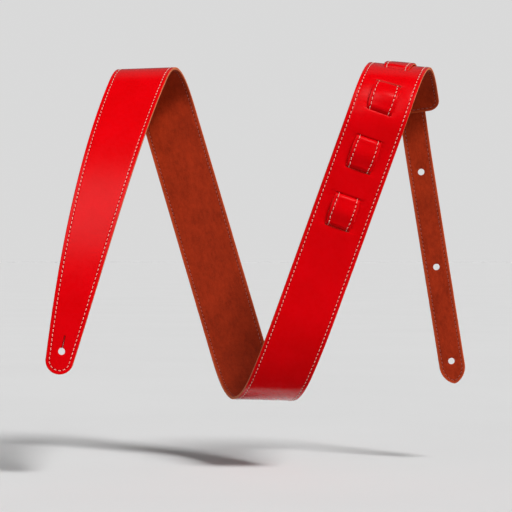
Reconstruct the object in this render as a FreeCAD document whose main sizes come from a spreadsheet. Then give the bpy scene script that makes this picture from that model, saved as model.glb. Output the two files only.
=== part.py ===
import FreeCAD, Part
import math
import os
import Sketcher

# Guitar strap: a long two-layer leather band, folded three times into a flattened coil,
# with a narrow adjusting tail laced through seven slots near its square end.
#
# The band is a developable strip.  Every point of it has flat coordinates: "along", the distance
# from the pointed front end, "across", the distance from the centreline to the left, and "up",
# the height above the glue line between face leather and suede backing.  place() rolls those
# flat coordinates onto a chain of flats and cylindrical bends.  The lines along which the band
# bends are slanted to its length, so the band winds as a coil and its legs stay clear.
#
# Frame: origin at the underside of the front crest, where the folded strap hangs,
# +X to the right along the coil, +Y from the front legs to the rear ones, +Z up.

Vector = FreeCAD.Vector
doc = FreeCAD.newDocument("guitar_strap")

# ---------------------------------------------------------------- driving dimensions

DIMENSIONS = (
    # the band
    ("strap_width", 50.8),
    ("strap_length", 1130.0),
    ("face_thickness", 1.3),
    ("backing_thickness", 1.1),
    ("tip_radius", 12.0),
    ("taper_length", 420.0),
    ("taper_power", 2.8),
    ("end_corner_radius", 10.0),
    ("button_hole_diameter", 6.0),
    ("button_hole_from_tip", 19.8),
    ("slit_length", 13.5),
    ("slit_width", 0.6),
    # the seams
    ("seam_inset", 3.0),
    ("tail_seam_inset", 2.6),
    ("thread_width", 0.7),
    ("thread_height", 0.3),
    # the slots that the tail is laced through
    ("first_slot", 881.3),
    ("slot_pitch", 52.3),
    ("loop_length", 25.2),
    ("slot_width", 4.6),
    ("slot_side_clearance", 0.7),
    # the tail
    ("tail_width", 23.5),
    ("tail_face_thickness", 1.0),
    ("tail_backing_thickness", 0.9),
    ("tail_clearance", 0.65),
    ("tail_start_overlap", 24.0),
    ("tail_settled_after_last_slot", 12.0),
    ("ramp_length", 3.0),
    ("tail_hole_from_end", 55.5),
    ("tail_hole_pitch", 88.0),
    ("tail_hole_diameter", 6.0),
    ("tail_tip_from_hole", 21.5),
    ("tail_ogive_length", 17.0),
    ("tail_nose_radius", 4.0),
    # the posture: the front leg leans right by this angle and faces straight forward
    ("front_lean", 12.5),
    # lengths of the flats, and radius, turn and slant of each bend, from tip to tail
    ("front_flat_length", 40.0),
    ("front_curve_radius", 300.0),
    ("front_curve_turn", 46.5),
    ("front_slant", 14.5),
    ("front_fold_radius", 38.0),
    ("front_fold_turn", 133.0),
    ("upper_curve_radius", 400.0),
    ("upper_curve_turn", 4.0),
    ("middle_flat_length", 190.0),
    ("bottom_slant", 18.0),
    ("bottom_fold_radius", 52.0),
    ("bottom_fold_turn", 144.0),
    ("rising_curve_radius", 150.0),
    ("rising_curve_turn", 24.0),
    ("rear_flat_length", 165.0),
    ("rear_slant", 14.5),
    ("rear_fold_radius", 52.0),
    ("rear_fold_turn", 147.5),
    ("hanging_curve_radius", 100.0),
    ("hanging_curve_turn", 18.0),
    ("tail_bend_turn", 17.0),
)

sheet = doc.addObject("Spreadsheet::Sheet", "Dimensions")
for row, (alias, value) in enumerate(DIMENSIONS, start=1):
    sheet.set("A%d" % row, alias)
    sheet.set("B%d" % row, "%g" % value)
    sheet.setAlias("B%d" % row, alias)
doc.recompute()


def size(alias):
    """A driving dimension, read from the sheet."""
    return float(sheet.get(alias))


WORKED_OUT = []


def add_worked_out(alias, value):
    """A further row of the sheet, for a length that follows from the driving dimensions."""
    row = len(WORKED_OUT) + len(DIMENSIONS) + 1
    WORKED_OUT.append(alias)
    sheet.set("A%d" % row, alias)
    sheet.set("B%d" % row, repr(value))
    sheet.setAlias("B%d" % row, alias)


FACE = size("face_thickness")
BACKING = size("backing_thickness")
HALF_WIDTH = size("strap_width") / 2
TAIL_HALF = size("tail_width") / 2
THREAD = size("thread_height")

# Height of the tail's own glue line where it runs outside the band, and inside it.
TAIL_OUTSIDE = FACE + size("tail_clearance") + size("tail_backing_thickness")
TAIL_INSIDE = -BACKING - size("tail_clearance") - size("tail_face_thickness")

# ---------------------------------------------------------------- the chain of flats and bends


def turned(vector, axis, angle):
    """The vector turned about the unit axis by the angle in radians."""
    straight = vector * math.cos(angle) + axis.cross(vector) * math.sin(angle)
    return straight + axis * (axis.dot(vector) * (1 - math.cos(angle)))


class Stretch:
    """One flat (radius 0) or one bend of the band, with its frame at the start."""

    def __init__(self, start, origin, forward, outward, length=0.0, radius=0.0, turn=0.0, slant=0.0):
        self.start = start
        self.origin = origin
        self.forward = forward
        self.outward = outward
        self.radius = radius
        self.turn = math.radians(turn)
        self.slant = math.radians(slant)
        self.left = outward.cross(forward)
        self.axis = self.left * math.cos(self.slant) - forward * math.sin(self.slant)
        self.arc = self.radius * self.turn
        self.length = self.arc / math.cos(self.slant) if radius else length
        self.end = start + self.length

    def past_start(self, along, across):
        """How far a flat point lies past the bend's first ruling, square to the rulings."""
        return (along - self.start) * math.cos(self.slant) + across * math.sin(self.slant)

    def on_plane(self, along, across, up):
        flat = self.forward * (along - self.start) + self.left * across
        return self.origin + flat + self.outward * up

    def on_bend(self, along, across, up):
        angle = self.past_start(along, across) / self.radius
        beside = across * math.cos(self.slant) - (along - self.start) * math.sin(self.slant)
        spoke = turned(self.outward * (self.radius + up), self.axis, angle)
        return self.origin - self.outward * self.radius + spoke + self.axis * beside

    def frame_at(self, along, across=0.0):
        """The band's forward and outward directions at a flat point of this stretch."""
        angle = 0.0
        if self.radius:
            angle = min(max(self.past_start(along, across) / self.radius, 0.0), self.turn)
        return turned(self.forward, self.axis, angle), turned(self.outward, self.axis, angle)

    def finish(self):
        """Origin and directions where this stretch ends."""
        if not self.radius:
            return self.origin + self.forward * self.length, self.forward, self.outward
        spoke = turned(self.outward * self.radius, self.axis, self.turn)
        origin = self.origin - self.outward * self.radius + spoke
        origin = origin - self.axis * (self.arc * math.tan(self.slant))
        forward, outward = self.frame_at(self.end)
        return origin, forward, outward


def make_chain(tip):
    """All flats and bends in order, with the pointed end of the band at tip."""
    lean = math.radians(size("front_lean"))
    forward = Vector(math.sin(lean), 0, math.cos(lean))
    outward = Vector(0, -1, 0)
    plan = (
        ("front_flat", None, None, None),
        ("front_curve", "front_curve_radius", "front_curve_turn", "front_slant"),
        ("front_fold", "front_fold_radius", "front_fold_turn", "front_slant"),
        ("upper_curve", "upper_curve_radius", "upper_curve_turn", "front_slant"),
        ("middle_flat", None, None, None),
        ("bottom_fold", "bottom_fold_radius", "bottom_fold_turn", "bottom_slant"),
        ("rising_curve", "rising_curve_radius", "rising_curve_turn", "bottom_slant"),
        ("rear_flat", None, None, None),
        ("rear_fold", "rear_fold_radius", "rear_fold_turn", "rear_slant"),
        ("hanging_curve", "hanging_curve_radius", "hanging_curve_turn", "rear_slant"),
        ("tail_bend", "hanging_curve_radius", "tail_bend_turn", "rear_slant"),
    )
    chain = {}
    start = 0.0
    for name, radius, turn, slant in plan:
        if radius is None:
            stretch = Stretch(start, tip, forward, outward, length=size(name + "_length"))
        else:
            bend = {"radius": size(radius), "turn": size(turn), "slant": size(slant)}
            stretch = Stretch(start, tip, forward, outward, **bend)
        chain[name] = stretch
        start = stretch.end
        tip, forward, outward = stretch.finish()
    rest = size("strap_length") + size("tail_hole_from_end") + 2 * size("tail_hole_pitch")
    rest += size("tail_tip_from_hole") - start
    chain["tail_flat"] = Stretch(start, tip, forward, outward, length=rest)
    return chain


def place(along, across, up):
    """The point in space of a point given in the band's flat coordinates."""
    for stretch in CHAIN.values():
        if not stretch.radius:
            continue
        past = stretch.past_start(along, across)
        if past < 0:
            return stretch.on_plane(along, across, up)
        if past <= stretch.arc:
            return stretch.on_bend(along, across, up)
    return CHAIN["tail_flat"].on_plane(along, across, up)


# The crest is where the front fold has turned the band from upright to level.
CHAIN = make_chain(Vector(0, 0, 0))
front_fold = CHAIN["front_fold"]
to_crest = math.radians(90.0 - size("front_curve_turn"))
crest_along = front_fold.start + front_fold.radius * to_crest / math.cos(front_fold.slant)
CHAIN = make_chain(-place(crest_along, 0, -BACKING))
add_worked_out("tail_flat_start", CHAIN["tail_flat"].start)
add_worked_out("tail_flat_length", CHAIN["tail_flat"].length)
doc.recompute()

# ---------------------------------------------------------------- outlines


def half_width(along):
    """Half the band's width: narrow at the rounded tip, swelling smoothly to full width."""
    tip, full = size("tip_radius"), size("taper_length")
    if along >= full:
        return HALF_WIDTH
    left_to_go = min((full - along) / (full - tip), 1.0)
    return HALF_WIDTH - (HALF_WIDTH - tip) * left_to_go ** size("taper_power")


def band_edges():
    """Functions for the band's right and left edge."""
    return (lambda along: -half_width(along)), half_width


def seam_edges(side, inset, edge):
    """Functions for the two edges of a seam that follows an outline on one side."""
    outer, inner = inset, inset + size("thread_width")
    near = lambda along: side * (edge(along) - outer)
    far = lambda along: side * (edge(along) - inner)
    return (far, near) if side > 0 else (near, far)


def on_ruling(edge, station, slant):
    """Flat point where an edge meets the ruling that crosses the centreline at station."""
    across = edge(station)
    for _ in range(8):
        across = edge(station - across * math.tan(slant))
    return station - across * math.tan(slant), across


# ---------------------------------------------------------------- solids on the chain

DEGREES_PER_SECTION = 9.0


def section(station, slant, edges, low, high):
    """A closed rectangle across the band along one ruling."""
    right = on_ruling(edges[0], station, slant)
    left = on_ruling(edges[1], station, slant)
    corners = [place(*right, low), place(*left, low), place(*left, high), place(*right, high)]
    return Part.makePolygon(corners + corners[:1])


def bend_solid(stretch, edges, low, high, first=None):
    """The part of a layer that lies on one bend, or on what is left of it from a first station."""
    first = stretch.start if first is None else first
    share = (stretch.end - first) / stretch.length
    count = max(4, math.ceil(math.degrees(stretch.turn) * share / DEGREES_PER_SECTION))
    stations = [first + (stretch.end - first) * i / count for i in range(count + 1)]
    wires = [section(station, stretch.slant, edges, low, high) for station in stations]
    return Part.makeLoft(wires, True)


def flat_solid(stretch, slants, edges, low, high):
    """The part of a layer that lies on one flat between two bends."""
    ends = []
    for station, slant in zip((stretch.start, stretch.end), slants):
        ends.append([on_ruling(edge, station, slant) for edge in edges])
    corners = [ends[0][0], ends[1][0], ends[1][1], ends[0][1]]
    outline = [stretch.on_plane(*corner, low) for corner in corners]
    face = Part.Face(Part.makePolygon(outline + outline[:1]))
    return face.extrude(stretch.outward * (high - low))


def local_placement(along, across=0.0, up=0.0):
    """Placement whose X runs along the band, Y to its left and Z outward at a flat point."""
    stretch = next(s for s in CHAIN.values() if along <= s.end)
    forward, outward = stretch.frame_at(along, across)
    left = outward.cross(forward)
    turn = FreeCAD.Rotation(forward, left, outward, "ZXY")
    return FreeCAD.Placement(place(along, across, up), turn)


def local_box(along, length, width, depth=12.0):
    """A cutter centred on the centreline, through the band."""
    box = Part.makeBox(length, width, depth, Vector(-length / 2, -width / 2, -depth / 2))
    box.Placement = local_placement(along)
    return box


def local_pin(along, diameter, depth=12.0):
    """A round cutter on the centreline, through the band."""
    pin = Part.makeCylinder(diameter / 2, depth, Vector(0, 0, -depth / 2))
    pin.Placement = local_placement(along)
    return pin


def fused(solids):
    """Neighbouring solids joined face to face into one."""
    return solids[0].fuse(solids[1:]) if len(solids) > 1 else solids[0]


# ---------------------------------------------------------------- the pointed front end


def tip_outline(inset):
    """Closed flat outline of the front end, from its tip to the start of the front curve."""
    flat = CHAIN["front_flat"]
    slant = CHAIN["front_curve"].slant
    radius = size("tip_radius") - inset
    centre = size("tip_radius")
    edge = lambda along: half_width(along) - inset
    last_left = on_ruling(edge, flat.end, slant)
    last_right = on_ruling(lambda along: -edge(along), flat.end, slant)

    def side(last, sign):
        steps = 5
        stations = [centre + (last[0] - centre) * i / steps for i in range(steps + 1)]
        points = [flat.on_plane(along, sign * edge(along), 0) for along in stations]
        curve = Part.BSplineCurve()
        curve.interpolate(points)
        return curve.toShape()

    ends = [flat.on_plane(centre, sign * radius, 0) for sign in (1, -1)]
    nose = Part.Arc(ends[0], flat.on_plane(centre - radius, 0, 0), ends[1]).toShape()
    across = Part.LineSegment(flat.on_plane(*last_left, 0), flat.on_plane(*last_right, 0))
    edges = [side(last_left, 1), nose, side(last_right, -1), across.toShape()]
    return Part.Wire(Part.__sortEdges__(edges))


def tip_solid(inset, low, high):
    """The flat front end of a layer, drawn in from the band's outline by inset."""
    outward = CHAIN["front_flat"].outward
    blank = Part.Face(tip_outline(inset))
    blank.translate(outward * low)
    return blank.extrude(outward * (high - low))


# ---------------------------------------------------------------- the square rear end


def end_plate(inset):
    """A plate as wide as the band at its square end, with rounded corners, less the inset."""
    reach, depth = 40.0, 12.0
    half = HALF_WIDTH - inset
    radius = size("end_corner_radius") - inset
    plate = Part.makeBox(reach, 2 * half, depth, Vector(-reach - inset, -half, -depth / 2))
    corners = [e for e in plate.Edges if abs(e.BoundBox.XMin + inset) < 1e-6 and e.BoundBox.ZLength > 1]
    plate = plate.makeFillet(radius, corners)
    plate.Placement = local_placement(size("strap_length"))
    return plate


def beyond_end(setback=0.0):
    """A block that holds everything past a line square across the band near its end."""
    depth, reach, width = 12.0, 60.0, 80.0
    block = Part.makeBox(reach, width, depth, Vector(-setback, -width / 2, -depth / 2))
    block.Placement = local_placement(size("strap_length"))
    return block


# ---------------------------------------------------------------- sub-parts of the band


def feature(label, shape):
    """A document object that holds one sub-part."""
    item = doc.addObject("Part::Feature", label)
    item.Label = label
    item.Shape = shape
    item.Placement = FreeCAD.Placement()
    NODES.append(item)


NODES = []

# Layers of the band, from the glue line out: name, lower and upper height.
BAND_LAYERS = (
    ("face", 0.0, FACE),
    ("backing", -BACKING, 0.0),
    ("top_thread", FACE, FACE + THREAD),
    ("bobbin_thread", -BACKING - THREAD, -BACKING),
)

slot_places = []
for loop in range(3):
    loop_start = size("first_slot") + loop * size("slot_pitch")
    slot_places += [loop_start, loop_start + size("loop_length")]
slot_places.append(size("first_slot") + 3 * size("slot_pitch"))


def layer_on(names, layer, low, high, slants=None):
    """One layer on the named stretches, as one solid for leather and two for a seam's thread."""
    if layer in ("face", "backing"):
        strips = [band_edges()]
    else:
        strips = [seam_edges(side, size("seam_inset"), half_width) for side in (-1, 1)]
    solids = []
    for edges in strips:
        pieces = []
        for name in names:
            stretch = CHAIN[name]
            if stretch.radius:
                pieces.append(bend_solid(stretch, edges, low, high))
            else:
                pieces.append(flat_solid(stretch, slants, edges, low, high))
        solids.append(fused(pieces))
    return solids


def front_tip(layer, low, high):
    """The flat front end of a layer: a rounded tip with its button hole and slit."""
    inset = size("seam_inset")
    if layer not in ("face", "backing"):
        return tip_solid(inset, low, high).cut(tip_solid(inset + size("thread_width"), low, high))
    hole = size("button_hole_from_tip")
    slit = local_box(hole + size("slit_length") / 2, size("slit_length"), size("slit_width"))
    return tip_solid(0.0, low, high).cut(local_pin(hole, size("button_hole_diameter"))).cut(slit)


def lanes(half):
    """Functions for the right and left edge of a strip of constant half width."""
    return (lambda along: -half), (lambda along: half)


def end_seam(low, high):
    """The seam's thread down both sides of the last curve and across the square end."""
    curve = CHAIN["hanging_curve"]
    outer, inner = size("seam_inset"), size("seam_inset") + size("thread_width")
    strip = bend_solid(curve, lanes(HALF_WIDTH - outer), low, high)
    core = bend_solid(curve, lanes(HALF_WIDTH - inner), low - 1, high + 1)
    return strip.cut(core.cut(beyond_end(inner))).cut(beyond_end(outer))


def rear_crest(layer, low, high):
    """The rear fold of a layer and what hangs below it, down to the band's square end."""
    below_fold = layer_on(["rear_fold"], layer, low, high)
    if layer not in ("face", "backing"):
        return fused(below_fold + [end_seam(low, high)])
    leather = layer_on(["rear_fold", "hanging_curve"], layer, low, high)[0]
    return leather.cut(beyond_end(size("end_corner_radius")).cut(end_plate(0.0)))


def slotted(leather):
    """Leather with every slot of the band cut through it."""
    slot_length = size("tail_width") + 2 * size("slot_side_clearance")
    for slot in slot_places:
        leather = leather.cut(local_box(slot, size("slot_width"), slot_length))
    return leather


for layer, low, high in BAND_LAYERS:
    middle_slants = (CHAIN["upper_curve"].slant, CHAIN["bottom_fold"].slant)
    rear_slants = (CHAIN["rising_curve"].slant, CHAIN["rear_fold"].slant)
    rise = Part.makeCompound(layer_on(["rising_curve", "rear_flat"], layer, low, high, rear_slants))
    crest = rear_crest(layer, low, high)
    if layer in ("face", "backing"):
        rise, crest = slotted(rise), slotted(crest)
    feature("front_tip_" + layer, front_tip(layer, low, high))
    feature("front_curve_" + layer, Part.makeCompound(layer_on(["front_curve"], layer, low, high)))
    feature("front_fold_" + layer, Part.makeCompound(layer_on(["front_fold"], layer, low, high)))
    middle = layer_on(["upper_curve", "middle_flat"], layer, low, high, middle_slants)
    feature("middle_run_" + layer, Part.makeCompound(middle))
    feature("bottom_fold_" + layer, Part.makeCompound(layer_on(["bottom_fold"], layer, low, high)))
    feature("rear_run_" + layer, rise)
    feature("rear_crest_" + layer, crest)

# ---------------------------------------------------------------- the laced tail

# Layers of the tail, from its own glue line out.
TAIL_FACE = size("tail_face_thickness")
TAIL_BACKING = size("tail_backing_thickness")
TAIL_LAYERS = (
    ("face", 0.0, TAIL_FACE),
    ("backing", -TAIL_BACKING, 0.0),
    ("top_thread", TAIL_FACE, TAIL_FACE + THREAD),
    ("bobbin_thread", -TAIL_BACKING - THREAD, -TAIL_BACKING),
)
SECTION_SPACING = 5.0
settled = slot_places[-1] + size("tail_settled_after_last_slot")


def lacing_path():
    """The tail's glue line as (along, up) points, in and out of the slots."""
    levels = (TAIL_INSIDE, TAIL_OUTSIDE)
    half_ramp = size("ramp_length") / 2
    path = [(slot_places[0] - size("tail_start_overlap"), TAIL_INSIDE)]
    for number, slot in enumerate(slot_places):
        path.append((slot - half_ramp, levels[number % 2]))
        path.append((slot + half_ramp, levels[(number + 1) % 2]))
    path.append((settled, TAIL_OUTSIDE))
    return path


def mitres(path):
    """Each point of a path with the step that carries it to a parallel path one unit above."""
    marked = []
    for i, (along, up) in enumerate(path):
        before = path[max(i - 1, 0)], path[max(i, 1)]
        after = path[min(i, len(path) - 2)], path[min(i + 1, len(path) - 1)]
        angles = [math.atan2(b[1] - a[1], b[0] - a[0]) for a, b in (before, after)]
        middle, half_turn = sum(angles) / 2, (angles[1] - angles[0]) / 2
        scale = 1 / math.cos(half_turn)
        marked.append((along, up, -math.sin(middle) * scale, math.cos(middle) * scale))
    return marked


def lacing_sections(path):
    """The mitred points with evenly spaced ones between them, so that level runs can bend."""
    dense = []
    marked = mitres(path)
    for here, there in zip(marked, marked[1:]):
        dense.append(here)
        level = here[1] == there[1]
        steps = math.ceil((there[0] - here[0]) / SECTION_SPACING) if level else 1
        for i in range(1, steps):
            along = here[0] + (there[0] - here[0]) * i / steps
            dense.append((along, here[1], 0.0, 1.0))
    return dense + marked[-1:]


def laced_solid(right, left, low, high):
    """The laced stretch of a layer between two distances across the band."""
    wires = []
    sections = lacing_sections(lacing_path())
    for number, (along, up, step_along, step_up) in enumerate(sections):
        slant = CHAIN["rear_fold"].slant if number == len(sections) - 1 else 0.0
        corners = []
        for across, height in ((right, low), (left, low), (left, high), (right, high)):
            shifted = along + step_along * height - across * math.tan(slant)
            corners.append(place(shifted, across, up + step_up * height))
        wires.append(Part.makePolygon(corners + corners[:1]))
    return Part.makeLoft(wires, True, True)


def tail_strips(layer):
    """Right and left limits of a tail layer: one strip of leather, or two of thread."""
    if layer in ("face", "backing"):
        return [(-TAIL_HALF, TAIL_HALF)]
    outer = TAIL_HALF - size("tail_seam_inset")
    inner = outer - size("thread_width")
    return [(-outer, -inner), (inner, outer)]


def tail_laced(layer, low, high):
    """The tail from its hidden start through the slots."""
    return [laced_solid(right, left, low, high) for right, left in tail_strips(layer)]


def tail_crest(layer, low, high):
    """The tail over the rear crest and down to the band's square end, outside the band."""
    solids = []
    for right, left in tail_strips(layer):
        edges = (lambda along: right), (lambda along: left)
        heights = TAIL_OUTSIDE + low, TAIL_OUTSIDE + high
        over_crest = bend_solid(CHAIN["rear_fold"], edges, *heights, first=settled)
        solids.append(fused([over_crest, bend_solid(CHAIN["hanging_curve"], edges, *heights)]))
    return solids


def tail_bend(layer, low, high):
    """The short bend of the tail below the band's square end, where it swings."""
    solids = []
    for right, left in tail_strips(layer):
        edges = (lambda along: right), (lambda along: left)
        solids.append(bend_solid(CHAIN["tail_bend"], edges, TAIL_OUTSIDE + low, TAIL_OUTSIDE + high))
    return solids


for layer, low, high in TAIL_LAYERS:
    feature("tail_laced_" + layer, Part.makeCompound(tail_laced(layer, low, high)))
    feature("tail_crest_" + layer, Part.makeCompound(tail_crest(layer, low, high)))
    feature("tail_bend_" + layer, Part.makeCompound(tail_bend(layer, low, high)))


# ---------------------------------------------------------------- the tail's free end

TAN_SLANT = "tan(Dimensions.rear_slant * 1 deg)"
OUTLINE_OVERRUN = "1"


def new_sketch(body, name):
    """An empty sketch on the body's own XY plane."""
    sketch = body.newObject("Sketcher::SketchObject", name)
    plane = next(f for f in body.Origin.OriginFeatures if f.Role == "XY_Plane")
    sketch.AttachmentSupport = (plane, "")
    sketch.MapMode = "FlatFace"
    return sketch


def drive(sketch, expression, *constraint):
    """A dimension of the sketch that an expression over the sheet sets."""
    number = sketch.addConstraint(Sketcher.Constraint(*constraint))
    sketch.setExpression("Constraints[%d]" % number, expression)


def tail_outline(body, name, inset, overrun=None):
    """Sketch of the tail's outline drawn in by inset: slanted start, two sides, pointed arch."""
    sketch = new_sketch(body, name)
    drawn_in = size(inset) if inset else 0.0
    half_expression = "Dimensions.tail_width / 2" + (" - Dimensions.%s" % inset if inset else "")
    if overrun:
        drawn_in += size("thread_width")
        half_expression += " - Dimensions.thread_width"
    half = TAIL_HALF - drawn_in
    arch = size("tail_ogive_length") - drawn_in
    side_end = size("tail_flat_length") - size("tail_ogive_length")
    skew = half * math.tan(math.radians(size("rear_slant")))
    radius = (arch * arch + half * half) / (2 * half)
    sweep = math.asin(arch / radius)
    up = Vector(0, 0, 1)
    left_start, left_end = Vector(-skew, half, 0), Vector(side_end, half, 0)
    right_start, right_end = Vector(skew, -half, 0), Vector(side_end, -half, 0)
    left_circle = Part.Circle(Vector(side_end, half - radius, 0), up, radius)
    right_circle = Part.Circle(Vector(side_end, radius - half, 0), up, radius)
    sketch.addGeometry(Part.LineSegment(left_start, left_end))
    sketch.addGeometry(Part.ArcOfCircle(left_circle, math.pi / 2 - sweep, math.pi / 2))
    sketch.addGeometry(Part.ArcOfCircle(right_circle, -math.pi / 2, sweep - math.pi / 2))
    sketch.addGeometry(Part.LineSegment(right_end, right_start))
    sketch.addGeometry(Part.LineSegment(right_start, left_start))
    for rule in (
        ("Tangent", 0, 2, 1, 2),
        ("Coincident", 1, 1, 2, 2),
        ("Tangent", 2, 1, 3, 1),
        ("Coincident", 3, 2, 4, 1),
        ("Coincident", 4, 2, 0, 1),
        ("Horizontal", 0),
        ("Horizontal", 3),
        ("PointOnObject", 1, 1, -1),
    ):
        sketch.addConstraint(Sketcher.Constraint(*rule))
    side_length = "Dimensions.tail_flat_length - Dimensions.tail_ogive_length"
    point = "Dimensions.tail_flat_length - (Dimensions.tail_width / 2 - (%s))" % half_expression
    back = "(%s) * %s" % (half_expression, TAN_SLANT)
    forward = back
    if overrun:
        back, forward = "%s + %s" % (back, overrun), "%s - %s" % (forward, overrun)
    drive(sketch, half_expression, "DistanceY", -1, 1, 0, 1, half)
    drive(sketch, half_expression, "DistanceY", 3, 1, -1, 1, half)
    drive(sketch, point, "DistanceX", -1, 1, 1, 1, side_end + arch)
    drive(sketch, side_length, "DistanceX", -1, 1, 0, 2, side_end)
    drive(sketch, back, "DistanceX", 0, 1, -1, 1, skew)
    drive(sketch, forward, "DistanceX", -1, 1, 3, 2, skew)
    return sketch


def padded_outline(label, height, inset, thickness):
    """A body at a height above the band's glue line, with the tail's outline padded."""
    body = doc.addObject("PartDesign::Body", label)
    body.Label = label
    body.Placement = local_placement(size("tail_flat_start"), 0.0, TAIL_OUTSIDE + height)
    pad = body.newObject("PartDesign::Pad", label + "_pad")
    pad.Profile = tail_outline(body, label + "_outline", inset)
    pad.setExpression("Length", "Dimensions." + thickness)
    NODES.append(body)
    doc.recompute()
    return body, pad


def through_cut(body, sketch):
    """A pocket through the whole body."""
    pocket = body.newObject("PartDesign::Pocket", body.Name + "_pocket")
    pocket.Profile = sketch
    pocket.Type = "ThroughAll"
    pocket.Midplane = True
    doc.recompute()


def tail_end_leather(label, height, thickness):
    """A leather layer of the free tail: arched tip with a rounded nose and three button holes."""
    body, pad = padded_outline(label, height, None, thickness)
    nose = []
    for number, edge in enumerate(pad.Shape.Edges, start=1):
        middle = edge.BoundBox.Center
        upright = edge.BoundBox.ZLength > 0.5 * size(thickness) and edge.BoundBox.XLength < 0.01
        if upright and abs(middle.y) < 0.01:
            nose.append("Edge%d" % number)
    rounded = body.newObject("PartDesign::Fillet", label + "_nose")
    rounded.Base = (pad, nose)
    rounded.setExpression("Radius", "Dimensions.tail_nose_radius")
    sketch = new_sketch(body, label + "_holes")
    for number in range(3):
        place_expression = (
            "Dimensions.strap_length + Dimensions.tail_hole_from_end"
            " + %d * Dimensions.tail_hole_pitch - Dimensions.tail_flat_start" % number
        )
        along = size("strap_length") + size("tail_hole_from_end")
        along += number * size("tail_hole_pitch") - size("tail_flat_start")
        diameter = size("tail_hole_diameter")
        circle = sketch.addGeometry(Part.Circle(Vector(along, 0, 0), Vector(0, 0, 1), diameter / 2))
        sketch.addConstraint(Sketcher.Constraint("PointOnObject", circle, 3, -1))
        drive(sketch, place_expression, "DistanceX", -1, 1, circle, 3, along)
        drive(sketch, "Dimensions.tail_hole_diameter", "Diameter", circle, diameter)
    through_cut(body, sketch)


def tail_end_thread(label, height):
    """The seam's thread round the free tail, drawn in from its outline."""
    body, _ = padded_outline(label, height, "tail_seam_inset", "thread_height")
    inner = tail_outline(body, label + "_inner", "tail_seam_inset", OUTLINE_OVERRUN)
    through_cut(body, inner)


tail_end_leather("tail_end_face", 0.0, "tail_face_thickness")
tail_end_leather("tail_end_backing", -TAIL_BACKING, "tail_backing_thickness")
tail_end_thread("tail_end_top_thread", TAIL_FACE)
tail_end_thread("tail_end_bobbin_thread", -TAIL_BACKING - THREAD)

# ---------------------------------------------------------------- checks and files

doc.recompute()
for item in doc.Objects:
    if "Invalid" in item.State or "Error" in item.State:
        raise RuntimeError("%s did not compute: %s" % (item.Label, item.State))
for node in NODES:
    if node.Shape.isNull() or not node.Shape.isValid() or not node.Shape.Solids:
        raise RuntimeError("%s has no valid solid" % node.Label)

os.makedirs("parts", exist_ok=True)
for node in NODES:
    node.Shape.exportStep("parts/%s.step" % node.Label)
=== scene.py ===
import math
from collections import namedtuple

import bpy
import numpy as np
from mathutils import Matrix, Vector


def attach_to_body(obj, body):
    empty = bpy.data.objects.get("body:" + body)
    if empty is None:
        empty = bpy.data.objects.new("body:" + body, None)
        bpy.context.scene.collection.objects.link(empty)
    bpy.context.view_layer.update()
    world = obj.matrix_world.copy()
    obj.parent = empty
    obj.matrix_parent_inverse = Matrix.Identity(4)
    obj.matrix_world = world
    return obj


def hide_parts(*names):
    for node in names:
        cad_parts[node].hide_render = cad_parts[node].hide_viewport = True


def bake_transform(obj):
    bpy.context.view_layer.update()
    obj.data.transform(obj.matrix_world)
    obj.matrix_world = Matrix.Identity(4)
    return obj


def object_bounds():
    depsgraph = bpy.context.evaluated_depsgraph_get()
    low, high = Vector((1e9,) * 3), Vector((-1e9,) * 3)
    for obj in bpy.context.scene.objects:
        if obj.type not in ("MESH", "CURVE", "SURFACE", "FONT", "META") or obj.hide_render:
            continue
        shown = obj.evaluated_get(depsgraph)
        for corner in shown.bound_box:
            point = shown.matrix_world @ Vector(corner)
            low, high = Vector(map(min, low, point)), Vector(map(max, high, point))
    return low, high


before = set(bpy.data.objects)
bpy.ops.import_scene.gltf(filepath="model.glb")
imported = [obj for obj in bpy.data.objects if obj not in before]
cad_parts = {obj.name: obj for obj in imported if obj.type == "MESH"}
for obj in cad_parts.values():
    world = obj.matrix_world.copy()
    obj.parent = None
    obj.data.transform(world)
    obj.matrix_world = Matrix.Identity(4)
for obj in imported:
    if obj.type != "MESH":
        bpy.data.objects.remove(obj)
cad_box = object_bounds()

# Guitar strap: a two-layer leather band wound into a flattened coil, and a narrow tail laced
# through slots near the band's square end.
#
# Leather is laid out flat first: "along" is the distance from the band's pointed tip, "across"
# the distance to the left of its centreline and "up" the height above the glue line between
# face leather and suede backing, all in millimetres.  Windings then roll the flat leather up
# as the CAD model does, and MM turns the result into metres.

MM = 0.001

# ---------------------------------------------------------------- driving dimensions (mm, degrees)

HALF_WIDTH = 25.4
LENGTH = 1130.0
FACE = 1.3
BACKING = 1.1
TIP_RADIUS = 12.0
TAPER_LENGTH = 420.0
TAPER_POWER = 2.8
END_CORNER = 10.0
HOLE_RADIUS = 3.0
HOLE_FROM_TIP = 19.8
SLIT_END = HOLE_FROM_TIP + 13.5
SLIT_HALF_WIDTH = 0.18

FIRST_SLOT = 881.3
SLOT_PITCH = 52.3
LOOP_LENGTH = 25.2
SLOTS = [FIRST_SLOT + SLOT_PITCH * (i // 2) + LOOP_LENGTH * (i % 2) for i in range(7)]
SLOT_HALF_WIDTH = 2.3
SLOT_HALF_LENGTH = 10.95

TAIL_HALF = 11.75
TAIL_FACE = 1.0
TAIL_BACKING = 0.9
TAIL_CLEARANCE = 0.65
TAIL_OUTSIDE = FACE + TAIL_CLEARANCE + TAIL_BACKING
TAIL_INSIDE = -BACKING - TAIL_CLEARANCE - TAIL_FACE
TAIL_START = FIRST_SLOT - 24.0
TAIL_START_CORNER = 4.5
TAIL_HOLES = [LENGTH + 55.5 + 88.0 * i for i in range(3)]
ARCH_START = TAIL_HOLES[-1] + 21.5 - 17.0
ARCH_LENGTH = 17.0
NOSE_RADIUS = 4.0

STITCH_PITCH = 3.9
BAND_SEAM = 3.35
TAIL_SEAM = 2.95

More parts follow.
